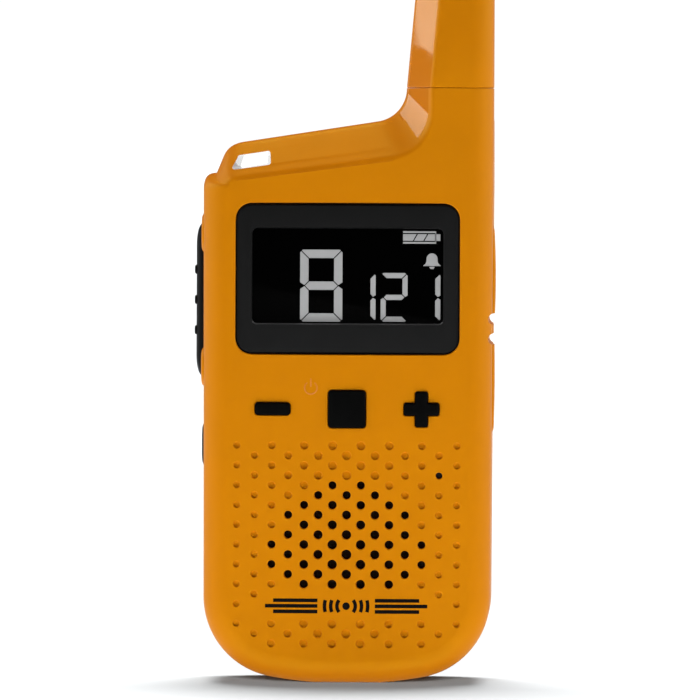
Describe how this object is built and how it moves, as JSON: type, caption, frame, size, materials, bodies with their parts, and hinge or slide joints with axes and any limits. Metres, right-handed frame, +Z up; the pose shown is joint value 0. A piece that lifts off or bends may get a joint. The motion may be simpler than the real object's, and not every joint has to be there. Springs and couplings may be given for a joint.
{
  "type": "walkie talkie",
  "caption": "Slim hand-held two-way radio: upright case with display, keys, speaker, side talk button, stub antenna growing from one shoulder, port covers, battery door and sprung belt clip.",
  "frame": {"origin": "centre of the small flat foot under the case", "axes": "+Z up along the case and antenna; the display faces -Y; the talk button is on the -X side and the antenna on the +X side"},
  "size_m": [0.0558, 0.0366, 0.162],
  "materials": {
    "shell": "satin, lightly textured orange moulding",
    "rubber_key": "matte black rubber",
    "bezel": "satin black plastic",
    "lens": "clear-coated black",
    "lcd_glass": "dark glass",
    "diffuser": "milky white",
    "black_plastic": "fine matte",
    "silicone": "grey silicone",
    "circuit_board": "green solder mask",
    "tin_plate": "tin-plated",
    "brass": "bright",
    "copper_wire": "enamelled copper",
    "spring_steel": "nickel-plated steel",
    "paper_cone": "doped paper",
    "grille_cloth": "black woven mesh",
    "cell_wrap": "printed film wrap, plain"
  },
  "bodies": {
    "radio": {"front_housing": "shell", "rear_housing": "shell", "housing_seal": "silicone", "housing_screw_lower_left": "spring_steel", "housing_screw_lower_right": "spring_steel", "housing_screw_upper_left": "spring_steel", "housing_screw_upper_right": "spring_steel", "antenna_cover": "shell", "antenna_coil": "copper_wire", "antenna_core": "black_plastic", "antenna_terminal": "brass", "display_bezel": "bezel", "display_lens": "lens", "lcd_panel": "lcd_glass", "lcd_backlight": "diffuser", "lcd_frame": "black_plastic", "lcd_contact_strip": "silicone", "minus_dome": "spring_steel", "menu_dome": "spring_steel", "plus_dome": "spring_steel", "keypad_web": "silicone", "ptt_switch": "tin_plate", "side_key_switch": "tin_plate", "port_cover_anchor": "shell", "audio_jack": "black_plastic", "usb_socket": "tin_plate", "speaker_mesh": "grille_cloth", "speaker_gasket": "silicone", "speaker_frame": "tin_plate", "speaker_cone": "paper_cone", "speaker_magnet": "spring_steel", "microphone_boot": "silicone", "microphone": "tin_plate", "main_board": "circuit_board", "rf_shield": "tin_plate", "radio_chip": "black_plastic", "reference_crystal": "tin_plate", "battery_cell_1": "cell_wrap", "battery_cell_2": "cell_wrap", "battery_cell_3": "cell_wrap", "battery_spring_1": "spring_steel", "battery_spring_2": "spring_steel", "battery_spring_3": "spring_steel", "battery_contact_positive": "spring_steel", "battery_contact_negative": "spring_steel", "battery_bridge_top": "spring_steel", "battery_bridge_bottom": "spring_steel", "belt_clip_pin": "spring_steel", "belt_clip_spring": "spring_steel"},
    "ptt": {"ptt_button": "rubber_key", "ptt_switch_stem": "black_plastic"},
    "side_button": {"side_key": "rubber_key", "side_key_switch_stem": "black_plastic"},
    "minus_button": {"minus_key": "rubber_key"},
    "menu_button": {"menu_key": "rubber_key"},
    "plus_button": {"plus_key": "rubber_key"},
    "jack_flap": {"jack_cover": "shell"},
    "usb_flap": {"usb_cover": "shell"},
    "door": {"battery_door": "shell"},
    "clip": {"belt_clip": "black_plastic"}
  },
  "joints": [
    {"name": "ptt_press", "type": "slide", "parent": "radio", "child": "ptt", "axis": [1, 0, 0], "range_m": [0, 0.001], "stiffness_N_per_m": 1500, "springref_m": -0.0005},
    {"name": "side_key_press", "type": "slide", "parent": "radio", "child": "side_button", "axis": [1, 0, 0], "range_m": [0, 0.0006], "stiffness_N_per_m": 2000, "springref_m": -0.0003},
    {"name": "minus_key_press", "type": "slide", "parent": "radio", "child": "minus_button", "axis": [0, 1, 0], "range_m": [0, 0.0005], "stiffness_N_per_m": 2000, "springref_m": -0.0003},
    {"name": "menu_key_press", "type": "slide", "parent": "radio", "child": "menu_button", "axis": [0, 1, 0], "range_m": [0, 0.0005], "stiffness_N_per_m": 2000, "springref_m": -0.0003},
    {"name": "plus_key_press", "type": "slide", "parent": "radio", "child": "plus_button", "axis": [0, 1, 0], "range_m": [0, 0.0005], "stiffness_N_per_m": 2000, "springref_m": -0.0003},
    {"name": "jack_cover_hinge", "type": "hinge", "parent": "radio", "child": "jack_flap", "pos_m": [0.0262, -0.004, 0.0675], "axis": [0, 1, 0], "range_deg": [0, 85], "stiffness_Nm_per_rad": 0.001, "springref_deg": -11.46},
    {"name": "usb_cover_hinge", "type": "hinge", "parent": "radio", "child": "usb_flap", "pos_m": [0.0262, -0.004, 0.0635], "axis": [0, -1, 0], "range_deg": [0, 85], "stiffness_Nm_per_rad": 0.001, "springref_deg": -11.46},
    {"name": "battery_door_slide", "type": "slide", "parent": "radio", "child": "door", "axis": [0, 0, -1], "range_m": [0, 0.062]},
    {"name": "belt_clip_hinge", "type": "hinge", "parent": "radio", "child": "clip", "pos_m": [0, 0.017, 0.082], "axis": [1, 0, 0], "range_deg": [0, 15], "stiffness_Nm_per_rad": 0.1, "springref_deg": -17.19, "deforming": ["belt_clip_spring"]}
  ]
}
